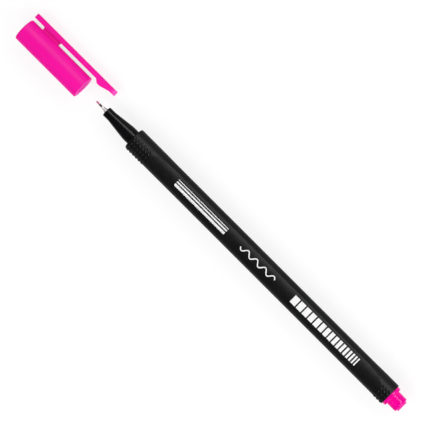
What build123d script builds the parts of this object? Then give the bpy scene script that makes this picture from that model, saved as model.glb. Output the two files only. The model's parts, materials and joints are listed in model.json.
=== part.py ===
from build123d import *
import os
from math import asin, atan2, degrees, hypot, sqrt

# A fineliner pen with its cap pulled off, in millimetres.
# The pen's axis is X, the plug's end face is at x = 0 and the nib points to +X.
# It lies on a table, +Z up, rolled until the cap's clip touches the table.

# Fits shared by all pieces
seat_clearance = 0.02  # radial play of a pressed seat
overrun = 1.0  # how far a cutting shape reaches past the piece it cuts

# End plug
stud_radius = 2.87
stud_length = 4.55
stud_end_round = 0.5
button_radius = 2.1  # low step on the stud's end
button_length = 0.6
flange_radius = 3.82
flange_length = 1.38
flange_chamfer = 0.35
plug_seat_length = 8.0
plug_core_radius = 1.8
plug_end_wall = 1.4
post_radius = 2.25
post_rib = 0.9  # thickness of the two crossed ribs
post_reach = 9.8  # from the plug's seat to the reservoir

# Barrel
barrel_length = 124.8
barrel_radius = 4.26
barrel_mouth_round = 0.55
barrel_rear_chamfer = 0.15
bore_radius = 2.75
seat_step = 0.1  # how much wider the bore is where the plug and the section sit

# Facets along the barrel
facet_count = 3
facet_recess = 0.42  # depth of a facet's crest below the round barrel
facet_crown_radius = 7.5
facet_runout_radius = 96.0
facet_rear_inset = 13.5  # from the barrel's rear end to the facet's full width
facet_front_inset = 18.0  # from the barrel's front end to the facet's full width
facet_turn = -4.0  # degrees from a quarter turn off the clip to a facet's crest

# Nose section
section_seat_length = 9.0
section_reach = 13.27
section_collar_length = 2.7
section_nose_radius = 1.86
section_nose_length = 2.6
section_taper_round = 6.0  # where the taper runs into the collar and the nose
section_front_chamfer = 0.2
section_hollow_radius = 1.9
section_hollow_length = 8.0
wick_channel_play = 0.15

# Metal tip sleeve
sleeve_radius = 0.85
sleeve_seat_length = 4.0
sleeve_reach = 3.6
sleeve_cone_length = 2.1
sleeve_tip_radius = 0.4

# Fibre nib and its wick
nib_radius = 0.3
nib_reach = 1.3
nib_tip_round = 0.22
wick_radius = 0.5
wick_shoulder_depth = 1.2  # behind the section's front end
wick_depth = 9.0  # how far the wick reaches into the reservoir

# Ink reservoir
reservoir_radius = 2.45
wrap_thickness = 0.12

# Cap
cap_gap = 6.6  # from the nib to the cap's mouth, as it is pulled off
cap_length = 29.1
cap_radius = 4.36
cap_mouth_chamfer = 0.2
cap_end_round = 0.6
cap_play = 0.1  # radial play of the cap on the nose section
cap_lead = 0.35  # chamfer inside the cap's mouth
cap_end_wall = 1.2
seal_depth = 10.9  # from the mouth to the seal tube
seal_play = 0.08
seal_wall = 0.45

# Clip, with its places along the pen measured from the cap's mouth
clip_gap = 1.11  # between the cap and the clip
clip_thickness = 1.92
clip_width = 3.6
clip_reach = 9.7
clip_edge_round = 0.3  # along the bar's outer face
clip_end_round = 0.6
clip_tip_round = 1.7
tooth_play = 0.15  # between the tooth's crest and the barrel, with the cap on
tooth_start = 1.1
tooth_crest_start = 2.35
tooth_crest_end = 3.35
tooth_end = 7.0
tooth_round = 0.5
tooth_root_round = 0.3
bridge_inset = 5.0  # from the cap's closed end
bridge_length = 7.6
bridge_width = 2.4
bridge_round = 0.4

# Places along the pen
barrel_rear_x = stud_length + flange_length
barrel_front_x = barrel_rear_x + barrel_length
plug_front_x = barrel_rear_x + plug_seat_length
section_rear_x = barrel_front_x - section_seat_length
section_front_x = barrel_front_x + section_reach
sleeve_rear_x = section_front_x - sleeve_seat_length
sleeve_front_x = section_front_x + sleeve_reach
nib_tip_x = sleeve_front_x + nib_reach
shoulder_x = section_front_x - wick_shoulder_depth
wick_rear_x = section_rear_x - wick_depth
reservoir_rear_x = plug_front_x + post_reach
cap_mouth_x = nib_tip_x + cap_gap
cap_end_x = cap_mouth_x + cap_length
cap_cavity_x = cap_end_x - cap_end_wall

# Radii that follow from the fits
seat_radius = bore_radius + seat_step
pressed_radius = seat_radius - seat_clearance
cap_bore_radius = pressed_radius + cap_play
wick_hole_radius = wick_radius + seat_clearance
nib_hole_radius = nib_radius + seat_clearance
wrap_inner_radius = reservoir_radius + seat_clearance
seal_radius = section_nose_radius + seal_play
clip_gap_radius = cap_radius + clip_gap
clip_outer_radius = clip_gap_radius + clip_thickness
tooth_radius = barrel_radius + tooth_play


def turned(*points, rounds=None):
    """A solid of revolution about X from the corners (x, radius) of its half outline."""
    if rounds is None:
        outline = Polyline(*points, close=True)
    else:
        outline = FilletPolyline(*points, radius=rounds, close=True)
    return revolve(make_face(outline), Axis.X)


def tube_between(start_x, end_x, radius):
    return turned((start_x, 0), (start_x, radius), (end_x, radius), (end_x, 0))


def end_plug():
    """Stud with a low button, flange and cored spigot, with crossed ribs that hold the reservoir."""
    body = turned(
        (0, 0),
        (0, button_radius),
        (button_length, button_radius),
        (button_length, stud_radius),
        (stud_length, stud_radius),
        (stud_length, flange_radius - flange_chamfer),
        (stud_length + flange_chamfer, flange_radius),
        (barrel_rear_x, flange_radius),
        (barrel_rear_x, pressed_radius),
        (plug_front_x, pressed_radius),
        (plug_front_x, 0),
        rounds=[0, 0, 0, stud_end_round, 0, 0, 0, 0, 0, 0, 0],
    )
    core = tube_between(plug_end_wall, plug_front_x + overrun, plug_core_radius)
    return body - core + crossed_ribs()


def crossed_ribs():
    length = reservoir_rear_x - plug_end_wall
    middle = Pos(plug_end_wall + length / 2, 0, 0)
    upright = middle * Box(length, post_rib, 2 * post_radius)
    level = middle * Box(length, 2 * post_radius, post_rib)
    return (upright + level) & tube_between(plug_end_wall, reservoir_rear_x, post_radius)


def barrel():
    """Round barrel with three crowned facets and a bore with a seat at each end."""
    body = turned(
        (barrel_rear_x, 0),
        (barrel_rear_x, barrel_radius - barrel_rear_chamfer),
        (barrel_rear_x + barrel_rear_chamfer, barrel_radius),
        (barrel_front_x, barrel_radius),
        (barrel_front_x, 0),
        rounds=[0, 0, 0, barrel_mouth_round, 0],
    )
    for index in range(facet_count):
        body = body & Rot(facet_turn + 360 / facet_count * index, 0, 0) * facet_spool()
    return body - barrel_bore()


def facet_spool():
    """A wide spool that leaves one crowned facet on +Z and flares clear of the round ends."""
    crest = barrel_radius - facet_recess
    flare = 2 * facet_recess
    run = sqrt(facet_runout_radius**2 - (facet_runout_radius - flare) ** 2)
    rear_x = barrel_rear_x + facet_rear_inset
    front_x = barrel_front_x - facet_front_inset
    rim = facet_crown_radius + flare
    rear_flare = (rear_x - run, rim)
    rear_full = (rear_x, facet_crown_radius)
    front_full = (front_x, facet_crown_radius)
    front_flare = (front_x + run, rim)
    rear_end_x = barrel_rear_x - overrun
    front_end_x = barrel_front_x + overrun
    outline = [
        Line(rear_full, front_full),
        RadiusArc(front_full, front_flare, -facet_runout_radius),
        Polyline(front_flare, (front_end_x, rim), (front_end_x, 0), (rear_end_x, 0)),
        Polyline((rear_end_x, 0), (rear_end_x, rim), rear_flare),
        RadiusArc(rear_flare, rear_full, -facet_runout_radius),
    ]
    spool = revolve(make_face(Curve() + outline), Axis.X)
    return Pos(0, 0, crest - facet_crown_radius) * spool


def barrel_bore():
    rear_x = barrel_rear_x - overrun
    front_x = barrel_front_x + overrun
    return turned(
        (rear_x, 0),
        (rear_x, seat_radius),
        (plug_front_x, seat_radius),
        (plug_front_x, bore_radius),
        (section_rear_x, bore_radius),
        (section_rear_x, seat_radius),
        (front_x, seat_radius),
        (front_x, 0),
    )


def nose_section():
    """Nose that sits in the barrel's mouth, tapers from its collar and holds the metal sleeve."""
    body = turned(
        (section_rear_x, 0),
        (section_rear_x, pressed_radius),
        (barrel_front_x + section_collar_length, pressed_radius),
        (section_front_x - section_nose_length, section_nose_radius),
        (section_front_x - section_front_chamfer, section_nose_radius),
        (section_front_x, section_nose_radius - section_front_chamfer),
        (section_front_x, 0),
        rounds=[0, 0, section_taper_round, section_taper_round, 0, 0, 0],
    )
    return body - section_passage()


def section_passage():
    """Hollow rear end, wick channel and the seat of the metal sleeve, as one cut."""
    channel_radius = wick_radius + wick_channel_play
    sleeve_hole_radius = sleeve_radius + seat_clearance
    rear_x = section_rear_x - overrun
    front_x = section_front_x + overrun
    return turned(
        (rear_x, 0),
        (rear_x, section_hollow_radius),
        (section_rear_x + section_hollow_length, section_hollow_radius),
        (section_rear_x + section_hollow_length, channel_radius),
        (sleeve_rear_x, channel_radius),
        (sleeve_rear_x, sleeve_hole_radius),
        (front_x, sleeve_hole_radius),
        (front_x, 0),
    )


def tip_sleeve():
    """Metal sleeve: a shank in the section, then a cone that ends in a thin tube round the nib."""
    cone_x = section_front_x + sleeve_cone_length
    body = turned(
        (sleeve_rear_x, 0),
        (sleeve_rear_x, sleeve_radius),
        (section_front_x, sleeve_radius),
        (cone_x, sleeve_tip_radius),
        (sleeve_front_x, sleeve_tip_radius),
        (sleeve_front_x, 0),
    )
    rear_x = sleeve_rear_x - overrun
    front_x = sleeve_front_x + overrun
    hole = turned(
        (rear_x, 0),
        (rear_x, wick_hole_radius),
        (shoulder_x, wick_hole_radius),
        (shoulder_x, nib_hole_radius),
        (front_x, nib_hole_radius),
        (front_x, 0),
    )
    return body - hole


def fibre_nib():
    """One fibre rod: the nib in front, a shoulder inside the sleeve and the wick behind it."""
    return turned(
        (wick_rear_x, 0),
        (wick_rear_x, wick_radius),
        (shoulder_x, wick_radius),
        (shoulder_x, nib_radius),
        (nib_tip_x, nib_radius),
        (nib_tip_x, 0),
        rounds=[0, 0, 0, 0, nib_tip_round, 0],
    )


def ink_reservoir():
    rod = tube_between(reservoir_rear_x, section_rear_x, reservoir_radius)
    return rod - tube_between(wick_rear_x, section_rear_x + overrun, wick_hole_radius)


def reservoir_wrap():
    film = tube_between(reservoir_rear_x, section_rear_x, wrap_inner_radius + wrap_thickness)
    return film - tube_between(reservoir_rear_x - overrun, section_rear_x + overrun, wrap_inner_radius)


def cap():
    """Cap shell with its seal tube, and the clip on its bridge, as one moulding."""
    shell = turned(
        (cap_mouth_x, 0),
        (cap_mouth_x, cap_radius - cap_mouth_chamfer),
        (cap_mouth_x + cap_mouth_chamfer, cap_radius),
        (cap_end_x, cap_radius),
        (cap_end_x, 0),
        rounds=[0, 0, 0, cap_end_round, 0],
    )
    return shell - cap_cavity() + seal_tube() + clip_bar() + clip_bridge()


def cap_cavity():
    front_x = cap_mouth_x - overrun
    return turned(
        (front_x, 0),
        (front_x, cap_bore_radius + cap_lead),
        (cap_mouth_x, cap_bore_radius + cap_lead),
        (cap_mouth_x + cap_lead, cap_bore_radius),
        (cap_cavity_x, cap_bore_radius),
        (cap_cavity_x, 0),
    )


def seal_tube():
    """Inner tube that closes round the nose section's front end when the cap is on."""
    mouth_x = cap_mouth_x + seal_depth
    root_x = cap_cavity_x + cap_end_wall / 2
    tube = tube_between(mouth_x, root_x, seal_radius + seal_wall)
    return tube - tube_between(mouth_x - overrun, cap_cavity_x, seal_radius)


def clip_bar():
    """Clip on -Y: a bar with a round tip and a tooth near it."""
    tip_x = cap_mouth_x - clip_reach
    plan = FilletPolyline(
        (cap_end_x, clip_width / 2),
        (tip_x, clip_width / 2),
        (tip_x, -clip_width / 2),
        (cap_end_x, -clip_width / 2),
        radius=[clip_end_round, clip_tip_round, clip_tip_round, clip_end_round],
        close=True,
    )
    inner = tooth_radius - overrun
    bar = extrude(Plane.XZ.offset(inner) * make_face(plan), clip_outer_radius - inner)
    bar = fillet(bar.faces().sort_by(Axis.Y)[0].edges(), clip_edge_round)
    return bar - extrude(make_face(clip_underside(tip_x)), clip_width, both=True)


def clip_underside(tip_x):
    """Outline, in side view, of what is open below the clip."""
    front_x = tip_x - overrun
    rear_x = cap_end_x + overrun
    return FilletPolyline(
        (front_x, 0),
        (front_x, -clip_gap_radius),
        (cap_mouth_x - tooth_end, -clip_gap_radius),
        (cap_mouth_x - tooth_crest_end, -tooth_radius),
        (cap_mouth_x - tooth_crest_start, -tooth_radius),
        (cap_mouth_x - tooth_start, -clip_gap_radius),
        (rear_x, -clip_gap_radius),
        (rear_x, 0),
        radius=[0, 0, tooth_root_round, tooth_round, tooth_round, tooth_root_round, 0, 0],
        close=True,
    )


def clip_bridge():
    """Narrow web between the cap and the clip, flared where it meets the clip."""
    rear_x = cap_end_x - bridge_inset
    front_x = rear_x - bridge_length
    foot = sqrt(cap_radius**2 - (bridge_width / 2) ** 2)
    root = cap_bore_radius + (foot - cap_bore_radius) / 2
    flare = 2 * bridge_round
    head = clip_gap_radius + clip_thickness / 2
    side = FilletPolyline(
        (front_x, -root),
        (rear_x, -root),
        (rear_x, -clip_gap_radius),
        (rear_x + flare, -clip_gap_radius),
        (rear_x + flare, -head),
        (front_x - flare, -head),
        (front_x - flare, -clip_gap_radius),
        (front_x, -clip_gap_radius),
        radius=[0, 0, bridge_round, 0, 0, 0, 0, bridge_round],
        close=True,
    )
    return extrude(make_face(side), bridge_width / 2, both=True)


def lying_roll():
    """Degrees of roll about X that bring the clip's lower corner level with the cap's lowest line."""
    drop = cap_radius - clip_edge_round
    out = clip_outer_radius - clip_edge_round
    down = clip_width / 2 - clip_edge_round
    return degrees(asin(drop / hypot(out, down)) - atan2(down, out))


pieces = {
    "barrel": barrel(),
    "nose_section": nose_section(),
    "tip_sleeve": tip_sleeve(),
    "fibre_nib": fibre_nib(),
    "ink_reservoir": ink_reservoir(),
    "reservoir_wrap": reservoir_wrap(),
    "end_plug": end_plug(),
    "cap": cap(),
}

os.makedirs("parts", exist_ok=True)
for name, piece in pieces.items():
    export_step(Rot(lying_roll(), 0, 0) * piece, f"parts/{name}.step")
print("roll", lying_roll(), "cap travel", cap_mouth_x - barrel_front_x)
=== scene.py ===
import json
from math import asin, atan2, cos, pi, radians, sin
from typing import NamedTuple

import bmesh
import bpy
from mathutils import Matrix, Vector
from mathutils.bvhtree import BVHTree


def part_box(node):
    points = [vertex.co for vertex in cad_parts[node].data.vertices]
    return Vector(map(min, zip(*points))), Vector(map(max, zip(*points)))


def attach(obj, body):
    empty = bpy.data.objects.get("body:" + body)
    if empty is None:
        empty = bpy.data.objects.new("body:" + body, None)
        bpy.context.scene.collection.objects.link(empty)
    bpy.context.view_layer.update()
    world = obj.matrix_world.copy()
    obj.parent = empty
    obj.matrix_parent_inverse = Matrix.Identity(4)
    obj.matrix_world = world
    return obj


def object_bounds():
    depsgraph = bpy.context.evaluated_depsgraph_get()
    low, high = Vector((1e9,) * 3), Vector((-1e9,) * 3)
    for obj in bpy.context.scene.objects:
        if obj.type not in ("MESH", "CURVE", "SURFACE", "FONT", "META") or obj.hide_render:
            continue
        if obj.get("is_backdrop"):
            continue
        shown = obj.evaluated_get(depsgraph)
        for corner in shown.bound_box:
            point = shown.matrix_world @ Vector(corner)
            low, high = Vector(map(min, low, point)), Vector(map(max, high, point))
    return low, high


# A fineliner pen that lies on a white table with its cap pulled off.
# The frame's X runs along the pen towards the nib. Sizes are in millimetres, times MM.

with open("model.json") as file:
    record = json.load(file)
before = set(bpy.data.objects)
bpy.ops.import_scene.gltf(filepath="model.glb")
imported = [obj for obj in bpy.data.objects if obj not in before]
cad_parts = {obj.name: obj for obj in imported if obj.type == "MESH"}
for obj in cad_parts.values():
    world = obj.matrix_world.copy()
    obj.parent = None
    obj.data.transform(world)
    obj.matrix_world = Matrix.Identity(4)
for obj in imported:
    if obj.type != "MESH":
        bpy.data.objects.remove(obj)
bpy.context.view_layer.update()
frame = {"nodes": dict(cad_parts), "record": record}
nodes = frame["nodes"]
MM = 0.001
barrel_rear, barrel_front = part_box("barrel")

# The photograph's view, from above the pen's rear end to its middle
PHOTO_SIDE_PX = 446
MM_PER_PX = 0.3441
VIEW_HEIGHT = 1100 * MM
VIEW_FOOT_X = 15 * MM
VIEW_AIM_X = 88.14 * MM
VIEW_AIM_CLIPWARD = 1.125 * MM
VIEW_CLIP = (VIEW_HEIGHT / 10, VIEW_HEIGHT * 100)
PEN_SLOPE = radians(44.97)
SENSOR_MM = 36

# Directions: along the pen, and across it towards the clip and out of the picture
clip_mount = next(m for m in frame["record"]["mounts"] if m["name"] == "pocket_clip")
CLIP_DIP = atan2(-clip_mount["pos_m"][2], -clip_mount["pos_m"][1])
ALONG = Vector((1, 0, 0))
CLIPWARD = Vector((0, -cos(CLIP_DIP), -sin(CLIP_DIP)))
OUTWARD = Vector((0, -sin(CLIP_DIP), cos(CLIP_DIP)))

# The facet that faces the viewer
FACET_TURN = radians(-4)
FACET_OUT = OUTWARD * cos(FACET_TURN) + CLIPWARD * sin(FACET_TURN)
FACET_SIDE = CLIPWARD * cos(FACET_TURN) - OUTWARD * sin(FACET_TURN)

# Grip dots round both ends of the barrel, with a bare side where the clip lies when the cap is on
DOT_RADIUS = 0.45 * MM
DOT_HEIGHT = 0.2 * MM
DOT_SINK = 0.03 * MM
DOT_PITCH = 1.37 * MM
DOTS_PER_RING = 18
BARE_SIDE = (radians(25), radians(105))
DOT_SIDES = 12
DOT_STEPS = 4
REAR_RINGS = 3
REAR_INSET = 0.85 * MM
REAR_PHASE = radians(9)
FRONT_RINGS = 6
FRONT_INSET = 1.2 * MM
FRONT_PHASE = radians(-7)

# Painted highlights on the magenta, at the plug's end, the cap's mouth and the clip's tip, from each
# highlight's core out to its reach
PLUG_PAINTED_HIGHLIGHT = (1.9 * MM, 2.5 * MM)
MOUTH_PAINTED_HIGHLIGHT = (3.9 * MM, 4.4 * MM)
CLIP_PAINTED_HIGHLIGHT = (0.9 * MM, 3.0 * MM)
CLIP_MIDDLE_RADIUS = 6.4 * MM
PAINTED_HIGHLIGHT_MAGENTA = (0.9, 0.09, 0.52)

# Painted dark reflections on the metal sleeve, likewise: round its thin tube and beside its cone on
# the clip side
TUBE_MIDDLE = 0.75 * MM  # behind the sleeve's front end
TUBE_PAINTED_REFLECTION = (0.7 * MM, 0.9 * MM)
CONE_MIDDLE = 0.8 * MM  # ahead of the nose section's front end
CONE_PAINTED_REFLECTION = (0.3 * MM, 1.45 * MM)
DARK_REFLECTION_TINT = (0.03, 0.012, 0.015)

# White print on the facing facet
INK_PROUD = 0.015 * MM
INK_SINK = 0.02 * MM
INK_STEP = 0.3 * MM
LINES_X = (85.0 * MM, 109.1 * MM)
LINE_WIDTHS = (0.25 * MM, 0.5 * MM, 0.9 * MM)
LINE_GAP = 0.5 * MM
WAVE_X = (61.5 * MM, 77.9 * MM)
WAVE_HEIGHT = 0.85 * MM
WAVE_TURNS = 4
WAVE_WIDTH = 0.4 * MM
BARS_X = (21.7 * MM, 52.7 * MM)
BARS_HEIGHT = 3.1 * MM
BAR_COUNT = 16
BAR_GAP = 0.55 * MM
BAR_THINNEST_SHARE = 0.2


# Light

class Lamp(NamedTuple):
    """A soft box over the pen."""
    name: str
    distance: float
    radiance: float
    size: tuple  # along the pen, and across it
    turn: float = 0  # from the viewer's side towards the clip
    tilt: float = 0  # from there towards the pen's rear end
    unseen_by: str = None  # the kind of ray that misses it


# A gloss lamp stands just behind its partner and shows only in reflections
LIGHT_CENTRE_X = 40 * MM
KEY = {"size": (1200 * MM, 300 * MM), "turn": radians(34)}
FILL = {"size": (1800 * MM, 900 * MM), "turn": radians(-62)}
END = {"size": (450 * MM, 500 * MM), "tilt": radians(55)}
LAMPS = (
    Lamp("key", 600 * MM, 2.8, **KEY),
    Lamp("key_gloss", 620 * MM, 13.2, **KEY, unseen_by="diffuse"),
    Lamp("fill", 1000 * MM, 2.15, **FILL, unseen_by="glossy"),
    Lamp("end", 800 * MM, 3.5, **END),
    Lamp("end_gloss", 820 * MM, 23.5, **END, unseen_by="diffuse"),
)
ROOM_GREY = 0.12

# The table, whose edge sweeps up into a low backdrop
FLOOR_RADIUS = 2500 * MM
FLOOR_SIDES = 64
SWEEP_RADIUS = 800 * MM
SWEEP_ANGLE = radians(65)
SWEEP_STEPS = 8
FLOOR_ALBEDO = 0.85
FLOOR_GLOW = 0.79
FLOOR_SHADE_ALBEDO = 0.21


# Materials

NOISE_SPAN = (0.3, 0.7)  # where most of a noise's values lie
ROUGH_SPREAD = 0.05


class Surface:
    """A Principled material with helpers for procedural colour, roughness and relief."""

    def __init__(self, name, **constants):
        self.material = bpy.data.materials.new(name)
        self.material.use_nodes = True
        self.tree = self.material.node_tree
        self.shader = self.tree.nodes["Principled BSDF"]
        for socket, value in constants.items():
            self.shader.inputs[socket.replace("_", " ")].default_value = value
        self.place = self.tree.nodes.new("ShaderNodeTexCoord").outputs["Object"]

    def link(self, source, target):
        self.tree.links.new(source, target)

    def stretched(self, scale):
        """Object coordinates in metres, scaled along each axis."""
        node = self.tree.nodes.new("ShaderNodeMapping")
        node.inputs["Scale"].default_value = scale
        self.link(self.place, node.inputs["Vector"])
        return node.outputs["Vector"]

    def noise(self, grain, detail=3.0, stretch=(1, 1, 1)):
        """Noise whose features are about one grain wide, in metres."""
        node = self.tree.nodes.new("ShaderNodeTexNoise")
        node.inputs["Scale"].default_value = 1
        node.inputs["Detail"].default_value = detail
        scale = [s / grain for s in stretch]
        self.link(self.stretched(scale), node.inputs["Vector"])
        return node.outputs["Fac"]

    def colour(self, pattern, low, high):
        ramp = self.tree.nodes.new("ShaderNodeValToRGB")
        for element, place, tint in zip(ramp.color_ramp.elements, NOISE_SPAN, (low, high)):
            element.position = place
            element.color = (*tint, 1)
        self.link(pattern, ramp.inputs["Fac"])
        self.link(ramp.outputs["Color"], self.shader.inputs["Base Color"])

    def tinted(self, place, core, reach, tint):
        """Mixes another tint into the colour round one place, in full up to the core's edge."""
        base_colour = self.shader.inputs["Base Color"]
        before = base_colour.links[0].from_socket
        away = self.tree.nodes.new("ShaderNodeVectorMath")
        away.operation = "DISTANCE"
        away.inputs[1].default_value = place
        self.link(self.place, away.inputs[0])
        fade = self.tree.nodes.new("ShaderNodeMapRange")
        fade.inputs["From Min"].default_value = reach
        fade.inputs["From Max"].default_value = core
        self.link(away.outputs["Value"], fade.inputs["Value"])
        mix = self.tree.nodes.new("ShaderNodeMixRGB")
        mix.inputs["Color2"].default_value = (*tint, 1)
        self.link(fade.outputs["Result"], mix.inputs["Fac"])
        self.link(before, mix.inputs["Color1"])
        self.link(mix.outputs["Color"], base_colour)

    def roughness(self, pattern, low, high):
        node = self.tree.nodes.new("ShaderNodeMapRange")
        node.inputs["To Min"].default_value = low
        node.inputs["To Max"].default_value = high
        self.link(pattern, node.inputs["Value"])
        self.link(node.outputs["Result"], self.shader.inputs["Roughness"])

    def relief(self, pattern, depth, strength):
        node = self.tree.nodes.new("ShaderNodeBump")
        node.inputs["Distance"].default_value = depth
        node.inputs["Strength"].default_value = strength
        self.link(pattern, node.inputs["Height"])
        self.link(node.outputs["Normal"], self.shader.inputs["Normal"])


def barrel_plastic(name, gloss, rough, grain_depth):
    """Black, with the fine eroded grain of its mould."""
    surface = Surface(name, Specular_IOR_Level=gloss)
    surface.colour(surface.noise(2.5 * MM), (0.0034, 0.0034, 0.0036), (0.0054, 0.0054, 0.0057))
    surface.roughness(surface.noise(0.6 * MM), rough - ROUGH_SPREAD, rough + ROUGH_SPREAD)
    surface.relief(surface.noise(0.12 * MM, detail=2), grain_depth, strength=0.5)
    return surface.material


def nose_plastic():
    """Polished black, with faint flow marks along the nose."""
    surface = Surface("nose_plastic", Specular_IOR_Level=0.05)
    flow = surface.noise(3 * MM, stretch=(0.3, 1, 1))
    surface.colour(flow, (0.003, 0.003, 0.0035), (0.005, 0.005, 0.006))
    surface.roughness(surface.noise(0.8 * MM), 0.16, 0.24)
    surface.relief(surface.noise(0.3 * MM), 0.001 * MM, strength=0.4)
    return surface.material


def magenta_plastic(name, low, high, gloss, rough, grain_depth, painted_highlights):
    """Semi-gloss magenta, a little uneven, as dyed plastic is, with painted highlights that make it
    paler round given places.
    """
    surface = Surface(name, Specular_IOR_Level=gloss)
    surface.colour(surface.noise(6 * MM, stretch=(0.25, 1, 1)), low, high)
    # painted highlights: paler magenta round each given place
    for place, (core, reach) in painted_highlights:
        surface.tinted(place, core, reach, PAINTED_HIGHLIGHT_MAGENTA)
    surface.roughness(surface.noise(0.7 * MM), rough - ROUGH_SPREAD, rough + ROUGH_SPREAD)
    surface.relief(surface.noise(0.15 * MM, detail=2), grain_depth, strength=0.4)
    return surface.material


def sleeve_metal(painted_reflections):
    """Satin metal with fine turning lines round it, and painted dark reflections that darken it round
    given places.
    """
    surface = Surface("sleeve_metal", Metallic=0.35)
    lines = surface.noise(0.03 * MM, stretch=(1, 0.02, 0.02))
    surface.colour(surface.noise(0.4 * MM), (0.6, 0.57, 0.56), (0.72, 0.69, 0.68))
    # painted dark reflections: darker metal round each given place
    for place, (core, reach) in painted_reflections:
        surface.tinted(place, core, reach, DARK_REFLECTION_TINT)
    surface.roughness(lines, 0.55, 0.7)
    surface.relief(lines, 0.002 * MM, strength=0.4)
    return surface.material


def inked_fibre(name, low, high):
    """Bonded fibres that run along the pen, soaked with ink."""
    surface = Surface(name, Specular_IOR_Level=0.2)
    strands = surface.noise(0.04 * MM, stretch=(0.05, 1, 1))
    surface.colour(strands, low, high)
    surface.roughness(strands, 0.7, 0.95)
    surface.relief(strands, 0.01 * MM, strength=0.6)
    return surface.material


def wrap_film():
    """Thin clear film, slightly creased."""
    surface = Surface("wrap_film", Transmission_Weight=0.6)
    creases = surface.noise(1.5 * MM, stretch=(0.2, 1, 1))
    surface.colour(creases, (0.86, 0.84, 0.85), (0.95, 0.93, 0.94))
    surface.roughness(creases, 0.12, 0.3)
    surface.relief(creases, 0.02 * MM, strength=0.3)
    return surface.material


def print_ink():
    """White pad-printed ink, a little thinner in places."""
    surface = Surface("print_ink", Specular_IOR_Level=0.06)
    surface.colour(surface.noise(0.5 * MM), (0.77, 0.77, 0.77), (0.84, 0.84, 0.84))
    surface.roughness(surface.noise(0.3 * MM), 0.4, 0.55)
    surface.relief(surface.noise(0.08 * MM), 0.003 * MM, strength=0.4)
    return surface.material


def dress(node, material):
    mesh = nodes[node].data
    mesh.materials.clear()
    mesh.materials.append(material)


# Pieces

def add_object(name, data):
    added = bpy.data.objects.new(name, data)
    bpy.context.scene.collection.objects.link(added)
    return added


def add_mesh(name, mesh_builder, material):
    """A new object from a finished mesh builder, which it frees."""
    mesh = bpy.data.meshes.new(name)
    mesh_builder.to_mesh(mesh)
    mesh_builder.free()
    mesh.materials.append(material)
    return add_object(name, mesh)


def add_piece(name, mesh_builder, material, smooth=True):
    """A new piece that rides on the pen's body."""
    bmesh.ops.recalc_face_normals(mesh_builder, faces=mesh_builder.faces)
    for face in mesh_builder.faces:
        face.smooth = smooth
    piece = add_mesh(name, mesh_builder, material)
    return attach(piece, "pen")


def join_rings(mesh_builder, rings):
    """Faces between each closed ring of points and the next."""
    for ring, after in zip(rings, rings[1:]):
        for side in range(len(ring)):
            following = (side + 1) % len(ring)
            mesh_builder.faces.new((ring[side], ring[following], after[following], after[side]))


def around(x, radius, angle):
    """A point round the pen, with the angle measured from the viewer's side towards the clip."""
    return ALONG * x + (OUTWARD * cos(angle) + CLIPWARD * sin(angle)) * radius


def add_dot(mesh_builder, x, radius, angle):
    """A low dome that follows the barrel's round, with its rim sunk into it."""
    rings = []
    dome_radius = (DOT_RADIUS**2 + DOT_HEIGHT**2) / (2 * DOT_HEIGHT)
    rim_slope = asin(DOT_RADIUS / dome_radius)
    for step in range(DOT_STEPS):
        slope = rim_slope * (1 - step / DOT_STEPS)
        out = dome_radius * sin(slope)
        height = DOT_HEIGHT - dome_radius * (1 - cos(slope)) if step else -DOT_SINK
        ring = []
        for side in range(DOT_SIDES):
            turn = 2 * pi * side / DOT_SIDES
            place = around(x + out * cos(turn), radius + height, angle + out * sin(turn) / radius)
            ring.append(mesh_builder.verts.new(place))
        rings.append(ring)
    top = mesh_builder.verts.new(around(x, radius + DOT_HEIGHT, angle))
    join_rings(mesh_builder, rings)
    for side in range(DOT_SIDES):
        mesh_builder.faces.new((rings[-1][side], rings[-1][(side + 1) % DOT_SIDES], top))
    mesh_builder.faces.new(reversed(rings[0]))


def grip_dots(name, first_x, step_x, rings, phase, material):
    radius = barrel_front.z
    bare_from, bare_to = BARE_SIDE
    mesh_builder = bmesh.new()
    for ring in range(rings):
        for row in range(DOTS_PER_RING):
            angle = phase + 2 * pi * row / DOTS_PER_RING
            if not bare_from < angle < bare_to:
                add_dot(mesh_builder, first_x + step_x * ring, radius, angle)
    return add_piece(name, mesh_builder, material)


barrel_surface = BVHTree.FromPolygons([v.co for v in nodes["barrel"].data.vertices],
                                      [p.vertices for p in nodes["barrel"].data.polygons])


def on_facet(x, across, lift):
    """A point over the facing facet, at a place along it and across it, lifted off its surface."""
    above = ALONG * x + FACET_SIDE * across + FACET_OUT * barrel_front.z * 2
    return barrel_surface.ray_cast(above, -FACET_OUT)[0] + FACET_OUT * lift


def add_band(mesh_builder, edge, other_edge):
    """A closed film of ink between two edges, each a list of places (along, across)."""
    corners = [(edge, INK_PROUD), (other_edge, INK_PROUD), (other_edge, -INK_SINK), (edge, -INK_SINK)]
    sides = []
    for places, lift in corners:
        sides.append([mesh_builder.verts.new(on_facet(*place, lift)) for place in places])
    rings = list(zip(*sides))
    join_rings(mesh_builder, rings)
    mesh_builder.faces.new(rings[0])
    mesh_builder.faces.new(reversed(rings[-1]))


def steps_between(start, end):
    count = max(1, round(abs(end - start) / INK_STEP))
    return [start + (end - start) * step / count for step in range(count + 1)]


def printed_lines(material):
    """Three long lines, each bolder than the one before."""
    mesh_builder = bmesh.new()
    across = (sum(LINE_WIDTHS) + LINE_GAP * (len(LINE_WIDTHS) - 1)) / 2
    places = steps_between(*LINES_X)
    for width in LINE_WIDTHS:
        add_band(mesh_builder, [(x, across) for x in places], [(x, across - width) for x in places])
        across -= width + LINE_GAP
    add_piece("printed_lines", mesh_builder, material, smooth=False)


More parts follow.
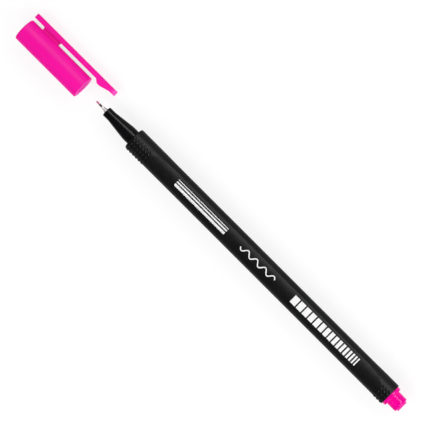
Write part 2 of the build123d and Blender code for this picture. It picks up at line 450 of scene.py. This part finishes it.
def printed_wave(material):
    """One thin wavy line."""
    mesh_builder = bmesh.new()
    start, end = WAVE_X
    edges = ([], [])
    for x in steps_between(start, end):
        turn = 2 * pi * WAVE_TURNS * (x - start) / (end - start)
        slope = atan2(WAVE_HEIGHT * cos(turn) * 2 * pi * WAVE_TURNS, end - start)
        for edge, half in zip(edges, (WAVE_WIDTH / 2, -WAVE_WIDTH / 2)):
            edge.append((x - half * sin(slope), WAVE_HEIGHT * sin(turn) + half * cos(slope)))
    add_band(mesh_builder, *edges)
    add_piece("printed_wave", mesh_builder, material, smooth=False)


def printed_bars(material):
    """Upright bars that grow from thin to broad at even gaps."""
    mesh_builder = bmesh.new()
    start, end = BARS_X
    growth = (1 - BAR_THINNEST_SHARE) / (BAR_COUNT - 1)
    shares = [BAR_THINNEST_SHARE + growth * bar for bar in range(BAR_COUNT)]
    broadest = (end - start - BAR_GAP * (BAR_COUNT - 1)) / sum(shares)
    places = steps_between(-BARS_HEIGHT / 2, BARS_HEIGHT / 2)
    for share in shares:
        width = broadest * share
        edge = [(start, across) for across in places]
        other_edge = [(start + width, across) for across in places]
        add_band(mesh_builder, edge, other_edge)
        start += width + BAR_GAP
    add_piece("printed_bars", mesh_builder, material, smooth=False)


# Stage, light and camera

def grey(level):
    return (level, level, level, 1)


def facing(place, right, up, back):
    """The matrix of a lamp or a camera that stands at a place and looks away from its back."""
    return Matrix.Translation(place) @ Matrix((right, up, back)).transposed().to_4x4()


def add_floor(height):
    """A wide round table in white paper, swept up at its edge."""
    mesh_builder = bmesh.new()
    turns = [2 * pi * side / FLOOR_SIDES for side in range(FLOOR_SIDES)]
    rings = []
    for step in range(SWEEP_STEPS + 1):
        rise = SWEEP_ANGLE * step / SWEEP_STEPS
        radius = FLOOR_RADIUS + SWEEP_RADIUS * sin(rise)
        level = height + SWEEP_RADIUS * (1 - cos(rise))
        places = [(radius * cos(turn), radius * sin(turn), level) for turn in turns]
        rings.append([mesh_builder.verts.new(place) for place in places])
    mesh_builder.faces.new(rings[0])
    join_rings(mesh_builder, rings)
    floor = add_mesh("floor", mesh_builder, floor_material())
    floor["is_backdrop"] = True


def floor_material():
    """White paper: seen directly or in a reflection it glows to white, and keeps the shadow."""
    material = bpy.data.materials.new("floor")
    material.use_nodes = True
    tree = material.node_tree
    tree.nodes.clear()
    path = tree.nodes.new("ShaderNodeLightPath")
    seen = path.outputs["Is Camera Ray"]
    for ray in ("Is Glossy Ray", "Is Transmission Ray"):
        most = tree.nodes.new("ShaderNodeMath")
        most.operation = "MAXIMUM"
        tree.links.new(seen, most.inputs[0])
        tree.links.new(path.outputs[ray], most.inputs[1])
        seen = most.outputs["Value"]
    paper = tree.nodes.new("ShaderNodeBsdfDiffuse")
    paper.inputs["Color"].default_value = grey(FLOOR_ALBEDO)
    shade = tree.nodes.new("ShaderNodeBsdfDiffuse")
    shade.inputs["Color"].default_value = grey(FLOOR_SHADE_ALBEDO)
    glow = tree.nodes.new("ShaderNodeEmission")
    glow.inputs["Strength"].default_value = FLOOR_GLOW
    both = tree.nodes.new("ShaderNodeAddShader")
    tree.links.new(shade.outputs["BSDF"], both.inputs[0])
    tree.links.new(glow.outputs["Emission"], both.inputs[1])
    pick = tree.nodes.new("ShaderNodeMixShader")
    tree.links.new(seen, pick.inputs["Fac"])
    tree.links.new(paper.outputs["BSDF"], pick.inputs[1])
    tree.links.new(both.outputs["Shader"], pick.inputs[2])
    out = tree.nodes.new("ShaderNodeOutputMaterial")
    tree.links.new(pick.outputs["Shader"], out.inputs["Surface"])
    return material


def add_lamp(lamp):
    light = bpy.data.lights.new(lamp.name, "AREA")
    light.shape = "RECTANGLE"
    light.size, light.size_y = lamp.size
    light.energy = lamp.radiance * pi * light.size * light.size_y
    across = around(0, 1, lamp.turn)
    back = across * cos(lamp.tilt) - ALONG * sin(lamp.tilt)
    up = across.cross(ALONG)
    place = ALONG * LIGHT_CENTRE_X + back * lamp.distance
    soft_box = add_object(lamp.name, light)
    soft_box.matrix_world = facing(place, up.cross(back), up, back)
    soft_box.visible_camera = False
    soft_box.visible_diffuse = lamp.unseen_by != "diffuse"
    soft_box.visible_glossy = lamp.unseen_by != "glossy"


def add_room():
    """The dim room over the table."""
    world = bpy.data.worlds.new("room")
    bpy.context.scene.world = world
    world.use_nodes = True
    room = world.node_tree.nodes["Background"]
    room.inputs["Color"].default_value = grey(ROOM_GREY)


def add_camera():
    """Looks at the pen's middle, with the pen along the picture's diagonal."""
    aim = ALONG * VIEW_AIM_X + CLIPWARD * VIEW_AIM_CLIPWARD
    place = ALONG * VIEW_FOOT_X + CLIPWARD * VIEW_AIM_CLIPWARD + OUTWARD * VIEW_HEIGHT
    back = (place - aim).normalized()
    along = back.cross(CLIPWARD)
    right = CLIPWARD * sin(PEN_SLOPE) - along * cos(PEN_SLOPE)
    up = along * sin(PEN_SLOPE) + CLIPWARD * cos(PEN_SLOPE)
    data = bpy.data.cameras.new("view")
    data.sensor_width = SENSOR_MM
    data.lens = SENSOR_MM * (place - aim).length / (PHOTO_SIDE_PX * MM_PER_PX * MM)
    data.clip_start, data.clip_end = VIEW_CLIP
    camera = add_object("view", data)
    camera.matrix_world = facing(place, right, up, back)
    bpy.context.scene.camera = camera


# The places of the painted dark reflections on the sleeve and of the painted highlights on the
# magenta
sleeve_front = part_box("tip_sleeve")[1]
tube_middle = ALONG * (sleeve_front.x - TUBE_MIDDLE)
cone_side = ALONG * (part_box("nose_section")[1].x + CONE_MIDDLE) + CLIPWARD * sleeve_front.z
plug_end = Vector()
cap_mouth = ALONG * clip_mount["pos_m"][0]
clip_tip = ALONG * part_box("cap")[0].x + CLIPWARD * CLIP_MIDDLE_RADIUS
sleeve_painted_reflections = [(tube_middle, TUBE_PAINTED_REFLECTION), (cone_side, CONE_PAINTED_REFLECTION)]
plug_painted_highlights = [(plug_end, PLUG_PAINTED_HIGHLIGHT)]
cap_painted_highlights = [(cap_mouth, MOUTH_PAINTED_HIGHLIGHT), (clip_tip, CLIP_PAINTED_HIGHLIGHT)]

dress("barrel", barrel_plastic("barrel_plastic", gloss=0.06, rough=0.43, grain_depth=0.004 * MM))
dress("nose_section", nose_plastic())
dress("tip_sleeve", sleeve_metal(sleeve_painted_reflections))
dress("fibre_nib", inked_fibre("nib_fibre", low=(0.35, 0.02, 0.11), high=(0.75, 0.09, 0.3)))
dress("ink_reservoir", inked_fibre("ink_fibre", low=(0.6, 0.01, 0.2), high=(0.85, 0.03, 0.34)))
dress("reservoir_wrap", wrap_film())
dress("end_plug", magenta_plastic(
    "plug_plastic", low=(0.8, 0.0004, 0.275), high=(0.85, 0.001, 0.31),
    gloss=0.07, rough=0.15, grain_depth=0.0005 * MM, painted_highlights=plug_painted_highlights))
dress("cap", magenta_plastic(
    "cap_plastic", low=(0.845, 0.003, 0.315), high=(0.905, 0.006, 0.365),
    gloss=0.045, rough=0.44, grain_depth=0.003 * MM, painted_highlights=cap_painted_highlights))

rear_x = barrel_rear.x + REAR_INSET
front_x = barrel_front.x - FRONT_INSET
smooth_black = barrel_plastic("dot_plastic", gloss=0.09, rough=0.26, grain_depth=0.001 * MM)
grip_dots("grip_dots_rear", rear_x, DOT_PITCH, REAR_RINGS, REAR_PHASE, smooth_black)
grip_dots("grip_dots_front", front_x, -DOT_PITCH, FRONT_RINGS, FRONT_PHASE, smooth_black)

white = print_ink()
printed_lines(white)
printed_wave(white)
printed_bars(white)

add_floor(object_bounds()[0].z)
for lamp in LAMPS:
    add_lamp(lamp)
add_room()
add_camera()
bpy.context.scene.view_settings.view_transform = "Standard"
